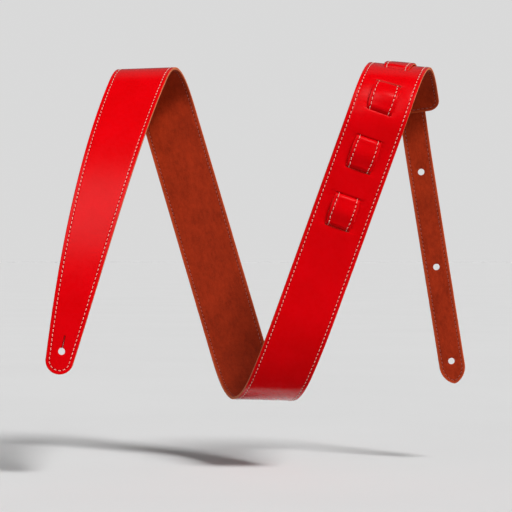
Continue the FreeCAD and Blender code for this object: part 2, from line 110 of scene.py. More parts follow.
# Each winding: the flat before it, the slant of its rulings, and its bends' radius and turn.
WINDINGS = (
    (40.0, 14.5, ((300.0, 46.5), (38.0, 133.0), (400.0, 4.0))),
    (190.0, 18.0, ((52.0, 144.0), (150.0, 24.0))),
    (165.0, 14.5, ((52.0, 147.5), (100.0, 35.0))),
)
FRONT_LEAN = 12.5
EASING = 9.0

# ---------------------------------------------------------------- rolling the flat leather up


def eased(t):
    """A smooth step from 0 to 1 while t goes from 0 to 1."""
    t = np.clip(t, 0.0, 1.0)
    return t * t * t * (t * (6 * t - 15) + 10)


def window(along, start, rise, last, fall):
    """A smooth rise from 0 to 1 that begins at start, and a smooth fall back that begins at last."""
    return eased((along - start) / rise) * (1 - eased((along - last) / fall))


class Winding:
    """A flat and the bends after it, whose rulings are all parallel."""

    STEP = 0.25

    def __init__(self, start, slant, bends, origin, forward, outward):
        slant = math.radians(slant)
        left = np.cross(outward, forward)
        self.start, self.origin, self.outward = start, origin, outward
        self.cos, self.sin = math.cos(slant), math.sin(slant)
        self.over = forward * self.cos + left * self.sin
        self.axis = left * self.cos - forward * self.sin
        arcs = [radius * math.radians(turn) for radius, turn in bends]
        self.end = start + sum(arcs) / self.cos
        past = np.arange(-2 * EASING, sum(arcs) + 2 * EASING, self.STEP)
        curvature = np.zeros_like(past)
        first = 0.0
        for arc, (radius, _) in zip(arcs, bends):
            curvature[(past >= first) & (past < first + arc)] = 1 / radius
            first += arc
        kernel = np.hanning(2 * int(EASING / self.STEP) + 1)
        curvature = np.convolve(curvature, kernel / kernel.sum(), "same")
        turned = np.cumsum(curvature) * self.STEP
        self.past, self.turned = past, turned
        self.run = past[0] + np.cumsum(np.cos(turned)) * self.STEP
        self.drop = -np.cumsum(np.sin(turned)) * self.STEP

    def place(self, along, across, up):
        """Points in space, in millimetres, of points of the flat leather."""
        past = (along - self.start) * self.cos + across * self.sin
        beside = across * self.cos - (along - self.start) * self.sin
        turned = np.interp(past, self.past, self.turned)
        before = np.minimum(past - self.past[0], 0.0)
        after = np.maximum(past - self.past[-1], 0.0)
        run = np.interp(past, self.past, self.run) + before + after * np.cos(turned)
        drop = np.interp(past, self.past, self.drop) - after * np.sin(turned)
        run = run + up * np.sin(turned)
        drop = drop + up * np.cos(turned)
        point = self.origin + run[..., None] * self.over + drop[..., None] * self.outward
        return point + beside[..., None] * self.axis

    def frame_at(self, along):
        """Forward and outward directions on the centreline."""
        turned = np.interp((along - self.start) * self.cos, self.past, self.turned)
        ahead = self.over * np.cos(turned) - self.outward * np.sin(turned)
        outward = self.outward * np.cos(turned) + self.over * np.sin(turned)
        return ahead * self.cos - self.axis * self.sin, outward


def wind():
    """The windings in order, moved so that the front crest's underside is at the origin."""
    lean = math.radians(FRONT_LEAN)
    forward = np.array([math.sin(lean), 0.0, math.cos(lean)])
    outward = np.array([0.0, -1.0, 0.0])
    made = []
    for flat, slant, bends in WINDINGS:
        if made:
            start = made[-1].end + flat
            origin = made[-1].place(*np.array([start, 0.0, 0.0]))
            forward, outward = made[-1].frame_at(start)
        else:
            start = flat
            origin = forward * flat
        made.append(Winding(start, slant, bends, origin, forward, outward))
    crest = np.linspace(made[0].start, made[0].end, 2000)
    under = made[0].place(crest, np.zeros_like(crest), np.full_like(crest, -BACKING))
    top = under[np.argmax(under[:, 2])]
    for winding in made:
        winding.origin = winding.origin - top
    return made


ROLLED = wind()
# Where one winding hands over to the next: the middle of the flat between them.
HANDOVERS = [ROLLED[i].start - WINDINGS[i][0] / 2 for i in (1, 2)]


def place(along, across, up):
    """Points in metres of points of the flat leather."""
    along, across, up = np.broadcast_arrays(*(np.asarray(c, float) for c in (along, across, up)))
    points = np.zeros(along.shape + (3,))
    which = np.searchsorted(HANDOVERS, along)
    for number, winding in enumerate(ROLLED):
        here = which == number
        points[here] = winding.place(along[here], across[here], up[here])
    return points * MM


# ---------------------------------------------------------------- how lacing bends the leather

# Half the length over which the tail and the band pass from one side to the other at a slot.
SLOT_EASE = 3.2
BAND_EASE = 8.0
SLOT_LEAN = 1.1
DENT = 0.5
SQUARE_SINK = 0.35
SQUARE_CROWN = 2.2
CUPPING = 0.8
CUPPING_FADE = 30.0
SLOT_PINCH = 0.06
PINCH_REACH = 7.0
# How far to each side of the centreline the dents keep their depth, and fade out after that.
DENT_HALF_WIDTH = 9.0
DENT_SIDE_FADE = 12.5
# Half the length over which the tail's slope is measured.
SLOPE_STEP = 0.05


def lacing(along, half_length, lean=0.0):
    """1 where the tail runs outside the band, 0 inside it; lean lengthens the outside runs."""
    total = np.zeros_like(along)
    for number, slot in enumerate(SLOTS):
        sign = (-1) ** number
        total += sign * eased((along - slot + sign * lean) / (2 * half_length) + 0.5)
    return total


def band_lift(along, across):
    """How far the lacing pushes the band out between the squares and in beneath them."""
    wave = 1 - 2 * lacing(along, BAND_EASE)
    lengthways = window(along, SLOTS[0] - 26, 18, SLOTS[-1] + 3, 22)
    sideways = 1 - eased((np.abs(across) - DENT_HALF_WIDTH) / DENT_SIDE_FADE)
    return DENT * wave * lengthways * sideways


def tail_height(along):
    """Height of the tail's glue line above the band's."""
    outside = lacing(along, SLOT_EASE, SLOT_LEAN)
    height = TAIL_INSIDE + (TAIL_OUTSIDE - TAIL_INSIDE) * outside
    for slot in SLOTS[0:6:2]:
        t = np.clip((along - slot) / LOOP_LENGTH, 0.0, 1.0)
        height = height + (SQUARE_CROWN * np.sin(math.pi * t) - SQUARE_SINK) * np.sin(math.pi * t)
    return height


def tail_slope(along):
    """How steeply the tail's glue line climbs away from the band's."""
    return (tail_height(along + SLOPE_STEP) - tail_height(along - SLOPE_STEP)) / (2 * SLOPE_STEP)


def place_band(along, across, up):
    """As place, with the dents that the lacing leaves in the band."""
    return place(along, across, up + band_lift(along, across))


def place_tail(along, across, up):
    """As place, for a point given by its height above the tail's own glue line."""
    lean = np.arctan(tail_slope(along))
    cupped = lacing(along, SLOT_EASE, SLOT_LEAN) * (1 - eased((along - SLOTS[-1]) / CUPPING_FADE))
    height = tail_height(along) - CUPPING * cupped * (across / TAIL_HALF) ** 2
    nearest = np.min([np.abs(along - slot) for slot in SLOTS], axis=0)
    pinched = across * (1 - SLOT_PINCH * (1 - eased(nearest / PINCH_REACH)))
    return place(along - up * np.sin(lean), pinched, height + up * np.cos(lean))


# ---------------------------------------------------------------- flat leather patterns


def arc(centre, radius, first, last, border):
    """The inner line and the outward directions round an arc of an outline."""
    angle = np.radians(np.linspace(first, last, 240))
    out = np.stack([np.cos(angle), np.sin(angle)], axis=1)
    return np.asarray(centre) + (radius - border) * out, out


def taper(along):
    """The band's half width and the slope of its edge."""
    left_to_go = np.clip((TAPER_LENGTH - along) / (TAPER_LENGTH - TIP_RADIUS), 0.0, 1.0)
    swell = HALF_WIDTH - TIP_RADIUS
    slope = TAPER_POWER * swell / (TAPER_LENGTH - TIP_RADIUS) * left_to_go ** (TAPER_POWER - 1)
    return HALF_WIDTH - swell * left_to_go ** TAPER_POWER, slope


def band_line(border):
    """Left half of the band's outline, drawn in by border, from the tip to the square end."""
    first_slant = math.degrees(math.atan(taper(np.array(TIP_RADIUS))[1]))
    nose = arc((TIP_RADIUS, 0.0), TIP_RADIUS, 180, 90 + first_slant, border)
    edge = np.linspace(TIP_RADIUS, LENGTH - END_CORNER, 9000)
    half, slope = taper(edge)
    slant = np.arctan(slope)
    out = np.stack([-np.sin(slant), np.cos(slant)], axis=1)
    side = np.stack([edge, half], axis=1) - border * out
    corner = arc((LENGTH - END_CORNER, HALF_WIDTH - END_CORNER), END_CORNER, 90, 0, border)
    points = np.concatenate([nose[0], side, corner[0]])
    return points, np.concatenate([nose[1], out, corner[1]])


ARCH_RADIUS = (ARCH_LENGTH**2 + TAIL_HALF**2) / (2 * TAIL_HALF)
ARCH_OFFSET = ARCH_RADIUS - TAIL_HALF
NOSE_CENTRE = math.sqrt((ARCH_RADIUS - NOSE_RADIUS) ** 2 - ARCH_OFFSET**2)
TAIL_TIP = ARCH_START + NOSE_CENTRE + NOSE_RADIUS


def tail_line(border):
    """Left half of the tail's outline, from its arched tip back to its hidden start."""
    turn = 180 - math.degrees(math.asin(ARCH_OFFSET / (ARCH_RADIUS - NOSE_RADIUS)))
    nose = arc((NOSE_RADIUS, 0.0), NOSE_RADIUS, 180, turn, border)
    arch_end = NOSE_CENTRE + NOSE_RADIUS
    arch = arc((arch_end, -ARCH_OFFSET), ARCH_RADIUS, turn, 90, border)
    back = TAIL_TIP - TAIL_START - TAIL_START_CORNER
    side = np.linspace(arch_end, back, 6000)[1:-1]
    side = np.stack([side, np.full_like(side, TAIL_HALF - border)], axis=1)
    out = np.tile([0.0, 1.0], (len(side), 1))
    corner = arc((back, TAIL_HALF - TAIL_START_CORNER), TAIL_START_CORNER, 90, 0, border)
    points = np.concatenate([nose[0], arch[0], side, corner[0]])
    return points, np.concatenate([nose[1], arch[1], out, corner[1]])


class Pattern:
    """Flat leather as quads: rings round the border, and columns and rows inside them.

    flip is the along of the tip of a piece that is laid out backwards, or None.
    """

    COLUMNS_PER_STITCH = 3
    # The least distance between two columns, and the one at which two points count as touching.
    CLEAR = 0.5
    TOUCHING = 0.01
    # How much further in than the rings the points inside them count as lying.
    DEEPER = 10.0

    def __init__(self, line, insets, seam, rows, marks, windows, flip=None):
        border = insets[-1]
        inner, out = line(border)
        self.seam_inset, self.flip = seam, flip
        dense_seam = inner + (border - seam) * out
        steps = np.hypot(*np.diff(dense_seam, axis=0).T)
        if flip is not None:
            middle = self.to_along((dense_seam[1:, 0] + dense_seam[:-1, 0]) / 2)
            steps = steps * np.hypot(1.0, tail_slope(middle))
        travelled = np.concatenate([[0.0], np.cumsum(steps)])
        half_end = inner[-1, 1]
        whole = travelled[-1] + half_end
        self.pitch = whole / round(whole / STITCH_PITCH)
        self.line_length = travelled[-1]
        self.dense = travelled, dense_seam

        step = self.pitch / self.COLUMNS_PER_STITCH
        regular = np.arange(step, travelled[-1] - self.CLEAR, step)
        side = out[:, 1] > 0.99
        forced = np.interp(self.from_along(marks), inner[side, 0], travelled[side])
        keep = np.abs(regular[:, None] - forced[None, :]).min(axis=1) > self.CLEAR
        for centre, reach in windows:
            at = np.interp(self.from_along([centre]), inner[side, 0], travelled[side])[0]
            keep &= np.abs(regular - at) > reach
        stations = np.sort(np.concatenate([[0.0], regular[keep], forced, [travelled[-1]]]))
        points = [np.interp(stations, travelled, inner[:, k]) for k in (0, 1)]
        normals = [np.interp(stations, travelled, out[:, k]) for k in (0, 1)]
        lengths = np.hypot(*normals)
        normals = [n / lengths for n in normals]
        self.build(stations, points, normals, rows, insets)

    def to_along(self, distance):
        return distance if self.flip is None else self.flip - np.asarray(distance)

    from_along = to_along

    def build(self, stations, points, normals, rows, insets):
        """Fills the pattern with columns and rows, and puts the rings round them."""
        columns = len(stations)
        half_rows = rows(self.to_along(points[0]), points[1])
        count = 2 * half_rows.shape[1] + 2
        grid = np.zeros((columns, count, 2))
        grid[:, :, 0] = points[0][:, None]
        edge = points[1][:, None]
        grid[:, :, 1] = np.concatenate([-edge, -half_rows[:, ::-1], half_rows, edge], axis=1)

        def index(i, j):
            return np.where(i == 0, 0, 1 + (i - 1) * count + j)

        i, j = np.meshgrid(np.arange(columns - 1), np.arange(count - 1), indexing="ij")
        corners = [index(i, j), index(i + 1, j), index(i + 1, j + 1), index(i, j + 1)]
        self.quads = np.stack(corners, axis=-1).reshape(-1, 4)
        self.inner_quads = len(self.quads)
        self.flat = np.concatenate([grid[0, :1], grid[1:].reshape(-1, 2)])
        self.add_rings(grid, index, stations, normals, insets)
        if self.flip is not None:
            self.flat = np.stack([self.flip - self.flat[:, 0], -self.flat[:, 1]], axis=1)

    def add_rings(self, grid, index, stations, normals, insets):
        """Rings of quads round the closed loop of tip, left side, square end and right side."""
        columns, count, _ = grid.shape
        middle = np.arange(count - 2, 0, -1)
        last = np.full(len(middle), columns - 1)
        left = np.arange(1, columns)
        loop = np.concatenate([
            [0], index(left, count - 1), index(last, middle), index(left[::-1], 0),
        ])
        half_end = grid[-1, -1, 1]
        end_at = stations[-1] + (half_end - grid[-1, middle, 1])
        turn = 2 * (stations[-1] + half_end)
        at = np.concatenate([[0.0], stations[1:], end_at, turn - stations[:0:-1]])
        out_along = [[-1.0], normals[0][1:], np.ones(len(middle)), normals[0][:0:-1]]
        out_across = [[0.0], normals[1][1:], np.zeros(len(middle)), -normals[1][:0:-1]]
        outward = np.stack([np.concatenate(out_along), np.concatenate(out_across)], axis=1)

        border, inside_count = insets[-1], len(self.flat)
        base = self.flat[loop]
        rings, ring_of = [], [loop]
        for ring, inset in enumerate(insets[:-1][::-1]):
            rings.append(base + (border - inset) * outward)
            ring_of.append(inside_count + ring * len(loop) + np.arange(len(loop)))
        following = np.roll(np.arange(len(loop)), -1)
        quads = [self.quads]
        for inner, outer in zip(ring_of, ring_of[1:]):
            quads.append(np.stack([outer, inner, inner[following], outer[following]], axis=1))
        self.flat = np.concatenate([self.flat] + rings)
        self.quads = np.concatenate(quads)
        self.inset = np.full(len(self.flat), border + self.DEEPER)
        self.seam_at = np.zeros(len(self.flat))
        for ring, inset in zip(ring_of, insets[::-1]):
            self.inset[ring] = inset
            self.seam_at[ring] = at

    def cut(self, inside):
        """Removes the inner quads whose middle lies inside a shape."""
        middle = self.flat[self.quads].mean(axis=1)
        gone = inside(middle[:, 0], middle[:, 1])
        gone[self.inner_quads:] = False
        self.quads = self.quads[~gone]
        self.inner_quads -= int(gone.sum())

    def punch(self, centre, radius, reach):
        """A round hole: the square of quads round it is removed and its rim made round."""
        self.cut(lambda a, c: (np.abs(a - centre) < radius) & (np.abs(c) < radius))
        offset = self.flat - np.array([centre, 0.0])
        square = np.abs(offset).max(axis=1)
        away = np.hypot(*offset.T)
        near = (square > radius - self.TOUCHING) & (square < reach)
        scale = np.where(near, square / np.maximum(away, self.TOUCHING), 1.0)
        pull = 1 - eased((square - radius) / (reach - radius))
        self.flat = np.array([centre, 0.0]) + offset * (1 + pull * (scale - 1))[:, None]


def band_rows(along, inner):
    """Half rows of the band, set to the slit and hole near its tip and to the slots' ends."""
    shares = np.array([0.07, 0.2, 0.34, 0.48, 0.62, 0.76, 0.89])
    plain = inner[:, None] * shares
    closing = np.interp(along, [HOLE_FROM_TIP, SLIT_END], [1.0, 0.25])
    hole = np.array([0.0, 1.1, 2.0, HOLE_RADIUS])[None, :].repeat(len(along), 0)
    hole[:, 0] = SLIT_HALF_WIDTH * closing
    beyond = HOLE_RADIUS + (inner[:, None] - HOLE_RADIUS) * np.array([0.25, 0.5, 0.75])
    hole = np.concatenate([hole, beyond], axis=1)
    near_hole = window(along, 12.5, 3, SLIT_END + 6, 60)
    slots = np.array([1.6, 4.9, 8.0, 10.0, SLOT_HALF_LENGTH, 14.6, 17.4])[None, :]
    near_slots = window(along, SLOTS[0] - 60, 45, SLOTS[-1] + 12, 45)
    rows = plain + near_hole[:, None] * (hole - plain)
    return rows + near_slots[:, None] * (slots - rows)


def tail_rows(along, inner):
    """Half rows of the tail, set to its three button holes."""
    plain = inner[:, None] * np.array([0.12, 0.34, 0.55, 0.72, 0.87])
    hole = np.array([0.6, 1.75, HOLE_RADIUS, 4.6, 6.3])[None, :]
    near = np.zeros_like(along)
    for centre in TAIL_HOLES:
        near = np.maximum(near, 1 - eased((np.abs(along - centre) - 6) / 6))
    near = near * (inner > 6.9)
    return plain + near[:, None] * (hole - plain)


HOLE_COLUMNS = np.array([-5.2, -4.1, -3.0, -2.0, -1.0, 0.0, 1.0, 2.0, 3.0, 4.1, 5.2])
HOLE_REACH = 5.2
LIP = 0.45


def band_pattern():
    """The band's flat leather, with its slots, its front hole and the slit beside the hole."""
    marks = list(HOLE_FROM_TIP + HOLE_COLUMNS) + [SLIT_END, SLIT_END + 0.6]
    for slot in SLOTS:
        edge = SLOT_HALF_WIDTH
        marks += [slot - edge - LIP, slot - edge, slot, slot + edge, slot + edge + LIP]
    insets = (0.0, 0.3, 0.6, 1.3, 2.4, 3.0, BAND_SEAM, 3.7, 4.3, 5.0)
    windows = [(HOLE_FROM_TIP, HOLE_REACH + 0.3)]
    pattern = Pattern(band_line, insets, BAND_SEAM, band_rows, np.array(marks), windows)
    half = SLOT_HALF_LENGTH
    for slot in SLOTS:
        edges = (slot - SLOT_HALF_WIDTH, slot + SLOT_HALF_WIDTH)
        pattern.cut(lambda a, c: (a > edges[0]) & (a < edges[1]) & (np.abs(c) < half))
    pattern.cut(lambda a, c: (a > HOLE_FROM_TIP) & (a < SLIT_END) & (np.abs(c) < 0.1))
    pattern.punch(HOLE_FROM_TIP, HOLE_RADIUS, HOLE_REACH)
    return pattern


def tail_pattern():
    """The tail's flat leather, with its three button holes."""
    marks = []
    for hole in TAIL_HOLES:
        marks += list(hole + HOLE_COLUMNS)
    for slot in SLOTS:
        marks += list(slot + 0.9 * np.arange(-5, 6))
    insets = (0.0, 0.3, 0.6, 1.2, 2.1, 2.6, TAIL_SEAM, 3.3, 3.7)
    windows = [(hole, HOLE_REACH + 0.3) for hole in TAIL_HOLES] + [(slot, 5.0) for slot in SLOTS]
    marks = np.array(sorted(marks, reverse=True))
    pattern = Pattern(tail_line, insets, TAIL_SEAM, tail_rows, marks, windows, flip=TAIL_TIP)
    for hole in TAIL_HOLES:
        pattern.punch(hole, HOLE_RADIUS, HOLE_REACH)
    return pattern


# ---------------------------------------------------------------- leather layers as solids

EDGE_ROUND = 0.5
ROLLED_RIM = 0.28
GROOVE_DEPTH = 0.16
GROOVE_WIDTH = 0.6
PUCKER_DEPTH = 0.05
PUCKER_INSET = 0.9
PUCKER_WIDTH = 1.3
NEEDLE_DEPTH = 0.3
NEEDLE_REACH = 1.25
NEEDLE_WIDTH = 0.6
# How far to each side of the slit the painted shade of the cut reaches.
SLIT_SHADE_WIDTH = 0.9
EDGE_WEAR = 1.2
SHARP_ANGLE = 48


def needle_marks(pattern):
    """1 at the needle holes of the seam, fading to 0 away from them."""
    phase = np.abs((pattern.seam_at / pattern.pitch + 0.5) % 1.0 - 0.5) * pattern.pitch
    beside = np.abs(pattern.inset - pattern.seam_inset)
    return np.clip(1 - phase / NEEDLE_REACH, 0, 1) * np.clip(1 - beside / NEEDLE_WIDTH, 0, 1)


def slit_shade(pattern):
    """1 along the slit beside the front button hole, where painted shade darkens the leather as the
    shadow inside the cut.
    """
    along, across = pattern.flat.T
    on_slit = (along > HOLE_FROM_TIP) & (along < SLIT_END + 0.3)
    return on_slit * np.clip(1 - (np.abs(across) - SLIT_HALF_WIDTH) / SLIT_SHADE_WIDTH, 0, 1)


def open_edges(quads, count):
    """Edges that belong to one quad only, in that quad's order."""
    edges = np.concatenate([quads[:, [k, (k + 1) % 4]] for k in range(4)])
    edges = edges[edges[:, 0] != edges[:, 1]]
    key = edges.min(axis=1).astype(np.int64) * count + edges.max(axis=1)
    _, first, times = np.unique(key, return_index=True, return_counts=True)
    return edges[first[times == 1]]


def relief(pattern):
    """How far the outer surface lies below its nominal height: rounded edges and the seam."""
    d = pattern.inset
    from_seam = d - pattern.seam_inset
    rim = np.zeros(len(d), bool)
    rim[open_edges(pattern.quads, len(d)).ravel()] = True
    rim &= from_seam > 0
    inside_round = np.clip(EDGE_ROUND - d, 0.0, EDGE_ROUND)
    rounding = EDGE_ROUND - np.sqrt(EDGE_ROUND**2 - inside_round**2)
    groove = GROOVE_DEPTH * np.exp(-((from_seam / GROOVE_WIDTH) ** 2))
    pucker = PUCKER_DEPTH * np.cos(2 * math.pi * pattern.seam_at / pattern.pitch)
    pucker = pucker * np.exp(-(((from_seam + PUCKER_INSET) / PUCKER_WIDTH) ** 2))
    rolled = np.where(rim, ROLLED_RIM, 0.0)
    return rounding + groove + pucker + NEEDLE_DEPTH * needle_marks(pattern) + rolled


def layer_mesh(name, sheet, span, outer, materials, bare_rim):
    """A closed solid of one layer between two alongs: outer surface, glue side and cut edges.

    Faces of the outer surface nearer to the outline than bare_rim get the second material too.
    """
    pattern = sheet.pattern
    middle = pattern.flat[pattern.quads].mean(axis=1)[:, 0]
    quads = pattern.quads[(middle >= span[0]) & (middle < span[1])]
    used, quads = np.unique(quads, return_inverse=True)
    quads = quads.reshape(-1, 4)
    count = len(used)
    rim_edges = open_edges(quads, count)
    along, across = pattern.flat[used].T
    up = relief(pattern)[used]
    side = 1 if outer > 0 else -1
    top = sheet.placer(along, across, outer - side * up)
    bottom = sheet.placer(along, across, np.zeros(count))
    first, second = rim_edges.T
    if side > 0:
        outside, glue = quads, quads[:, ::-1] + count
        walls = np.stack([second, first, first + count, second + count], axis=1)
    else:
        outside, glue = quads[:, ::-1], quads + count
        walls = np.stack([first, second, second + count, first + count], axis=1)
    faces = []
    for quad in np.concatenate([outside, glue, walls]).tolist():
        faces.append(list(dict.fromkeys(quad)))
    mesh = bpy.data.meshes.new(name)
    mesh.from_pydata(np.concatenate([top, bottom]).tolist(), [], faces)
    flat = np.zeros((2 * count, 3))
    flat[:, 0] = np.tile(along, 2)
    flat[:, 1] = np.tile(across, 2)
    flat[:, 2] = np.repeat([outer, 0.0], count)
    add_attribute(mesh, "flat", flat * MM)
    # Painted shade: 1 in the needle holes and along the slit, where the materials darken the leather
    # for the shadow in them. The seam attribute carries this first and the edge wear second.
    painted_hole_shade = np.maximum(needle_marks(pattern), slit_shade(pattern))[used]
    painted_hole_shade = np.concatenate([painted_hole_shade, np.zeros(count)])
    wear = np.concatenate([np.exp(-pattern.inset[used] / EDGE_WEAR), np.zeros(count)])
    add_attribute(mesh, "seam", np.stack([painted_hole_shade, wear, np.zeros(2 * count)], axis=1))
    for material in materials:
        mesh.materials.append(material)
    slots = np.zeros(len(faces), np.int32)
    slots[len(outside):] = 1
    at_rim = pattern.inset[used][outside].mean(axis=1) < bare_rim
    slots[:len(outside)][at_rim] = 1
    mesh.polygons.foreach_set("material_index", slots)
    mesh.polygons.foreach_set("use_smooth", np.ones(len(faces), bool))
    mesh.set_sharp_from_angle(angle=math.radians(SHARP_ANGLE))
    mesh.validate()
    return add_object(name, mesh)


def add_attribute(mesh, name, values):
    """Stores a vector at each of a mesh's points, for its material."""
    attribute = mesh.attributes.new(name, "FLOAT_VECTOR", "POINT")
    attribute.data.foreach_set("vector", np.ascontiguousarray(values, np.float32).ravel())


def add_object(name, mesh):
    """A new object of the scene that shows a mesh."""
    piece = bpy.data.objects.new(name, mesh)
    bpy.context.scene.collection.objects.link(piece)
    return piece


# ---------------------------------------------------------------- stitches

THREAD_RADIUS = 0.29
THREAD_TAPER = 0.45
THREAD_FLATNESS = 0.85
STITCH_SIDES = 6
STITCH_RINGS = 6
STITCH_LENGTH = 2.5
STITCH_RISE = 0.2
STITCH_DIVE = 0.5
STITCH_TILT = 8.0
TILT_SPREAD = 2.0
LENGTH_SPREAD = 0.035
HEIGHT_SPREAD = 0.02
# How far each stitch's grain is moved on from the one before, so that no two look the same.
GRAIN_SHIFT = 7.3
# Half the length over which a seam's direction is measured.
WAY_REACH = 0.6


def stitch_shape():
    """One stitch about its middle: rings round an arched thread whose ends dive into holes."""
    share = np.linspace(-1.0, 1.0, STITCH_RINGS)
    length = STITCH_LENGTH / 2
    thick = THREAD_RADIUS * (1 - THREAD_TAPER * np.abs(share) ** 5)
    height = STITCH_RISE - STITCH_DIVE * np.abs(share) ** 4
    angle = np.arange(STITCH_SIDES) * 2 * math.pi / STITCH_SIDES
    x = np.repeat(share * length, STITCH_SIDES)
    y = (thick[:, None] * np.cos(angle)).ravel()
    z = (height[:, None] + THREAD_FLATNESS * thick[:, None] * np.sin(angle)).ravel()
    faces = []
    for ring in range(STITCH_RINGS - 1):
        for k in range(STITCH_SIDES):
            a, b = ring * STITCH_SIDES + k, ring * STITCH_SIDES + (k + 1) % STITCH_SIDES
            faces.append([a, b, b + STITCH_SIDES, a + STITCH_SIDES])
    faces.append(list(range(STITCH_SIDES))[::-1])
    faces.append([(STITCH_RINGS - 1) * STITCH_SIDES + k for k in range(STITCH_SIDES)])
    return np.stack([x, y, z], axis=1), faces


def seam_points(pattern, closed):
    """Middle and direction of each stitch of a seam: left side, right side and square end."""
    travelled, line = pattern.dense
    last = pattern.line_length
    if closed:
        half_end = line[-1, 1]
        line = np.concatenate([line, [[line[-1, 0], 0.0]]])
        travelled = np.concatenate([travelled, [last + half_end]])
        last += half_end
    middles = np.arange(0.5, last / pattern.pitch - 0.4) * pattern.pitch
    point = [np.interp(middles, travelled, line[:, k]) for k in (0, 1)]
    ahead = [np.interp(middles + WAY_REACH, travelled, line[:, k]) for k in (0, 1)]
    behind = [np.interp(middles - WAY_REACH, travelled, line[:, k]) for k in (0, 1)]
    way = [a - b for a, b in zip(ahead, behind)]
    length = np.hypot(*way)
    way = [w / length for w in way]
    left = np.stack([point[0], point[1], way[0], way[1]], axis=1)
    right = left * np.array([1, -1, 1, -1])
    both = np.concatenate([left, right])
    if pattern.flip is not None:
        both = np.stack([pattern.flip - both[:, 0], -both[:, 1], -both[:, 2], -both[:, 3]], axis=1)
    return both


def stitches(name, sheet, span, height, material):
    """All the stitches of one side of a seam between two alongs."""
    seam = seam_points(sheet.pattern, sheet.closed)
    seam = seam[(seam[:, 0] >= span[0]) & (seam[:, 0] < span[1])]
    shape, shape_faces = stitch_shape()
    side = 1 if height > 0 else -1
    dice = np.random.default_rng(len(seam))
    tilt = STITCH_TILT * np.sign(seam[:, 1]) * side + dice.normal(0, TILT_SPREAD, len(seam))
    tilt = np.radians(tilt)
    stretch = 1 + dice.normal(0, LENGTH_SPREAD, len(seam))
    x = shape[None, :, 0] * stretch[:, None]
    y = np.broadcast_to(shape[None, :, 1], x.shape)
    turned_x = x * np.cos(tilt)[:, None] - y * np.sin(tilt)[:, None]
    turned_y = x * np.sin(tilt)[:, None] + y * np.cos(tilt)[:, None]
    along = seam[:, 0, None] + turned_x * seam[:, 2, None] - turned_y * seam[:, 3, None]
    across = seam[:, 1, None] + turned_x * seam[:, 3, None] + turned_y * seam[:, 2, None]
    uneven = dice.normal(0, HEIGHT_SPREAD, len(seam))[:, None]
    up = height + side * (shape[None, :, 2] - GROOVE_DEPTH + uneven)
    points = sheet.placer(along.ravel(), across.ravel(), up.ravel())
    count = len(shape)
    faces = []
    for number in range(len(seam)):
        for face in shape_faces:
            moved = [number * count + corner for corner in face]
            faces.append(moved if side > 0 else moved[::-1])
    mesh = bpy.data.meshes.new(name)
    mesh.from_pydata(points.tolist(), [], faces)
    own = np.stack([x.ravel(), y.ravel(), np.tile(shape[:, 2], len(seam))], axis=1)
    own[:, 2] += np.repeat(np.arange(len(seam)) * GRAIN_SHIFT, count)
    add_attribute(mesh, "flat", own * MM)
    mesh.materials.append(material)
    mesh.polygons.foreach_set("use_smooth", np.ones(len(faces), bool))
    mesh.validate()
    return add_object(name, mesh)


# ---------------------------------------------------------------- materials


class Graph:
    """A material's node tree, built by short calls."""

    def __init__(self, name):
        self.material = bpy.data.materials.new(name)
        self.material.use_nodes = True
        self.tree = self.material.node_tree
        self.shader = self.tree.nodes["Principled BSDF"]

    def add(self, kind, inputs=(), **settings):
        node = self.tree.nodes.new("ShaderNode" + kind)
        for key, value in settings.items():
            setattr(node, key, value)
        for key, value in dict(inputs).items():
            self.feed(node.inputs[key], value)
        return node

    def feed(self, socket, value):
        if isinstance(value, bpy.types.NodeSocket):
            self.tree.links.new(value, socket)
        else:
            socket.default_value = value

    def flat(self):
        return self.add("Attribute", attribute_name="flat").outputs["Vector"]

    def stretched(self, vector, scale):
        return self.add("Mapping", {"Vector": vector, "Scale": scale}).outputs["Vector"]

    def noise(self, vector, scale, detail=3.0, roughness=0.55):
        inputs = {"Vector": vector, "Scale": scale, "Detail": detail, "Roughness": roughness}
        return self.add("TexNoise", inputs).outputs["Fac"]

    def math(self, operation, a, b):
        return self.add("Math", {0: a, 1: b}, operation=operation).outputs[0]

    def spread(self, value, low, high, to_low=0.0, to_high=1.0):
        inputs = {"Value": value, 1: low, 2: high, 3: to_low, 4: to_high}
        return self.add("MapRange", inputs).outputs["Result"]

    def mix(self, factor, a, b, blend="MIX"):
        node = self.add("Mix", data_type="RGBA", blend_type=blend)
        self.feed(node.inputs["Factor"], factor)
        self.feed(node.inputs["A"], a)
        self.feed(node.inputs["B"], b)
        return node.outputs["Result"]

    def bump(self, height, strength, distance, normal=None):
        inputs = {"Height": height, "Strength": strength, "Distance": distance}
        if normal is not None:
            inputs["Normal"] = normal
        return self.add("Bump", inputs).outputs["Normal"]

    def finish(self, **inputs):
        for key, value in inputs.items():
            self.feed(self.shader.inputs[key.replace("_", " ")], value)
        return self.material


def rgba(red, green, blue):
    """A colour given in display values 0 to 255, as a linear one."""
    linear = []
    for value in (red, green, blue):
        c = value / 255
        linear.append(c / 12.92 if c <= 0.04045 else ((c + 0.055) / 1.055) ** 2.4)
    return (*linear, 1.0)


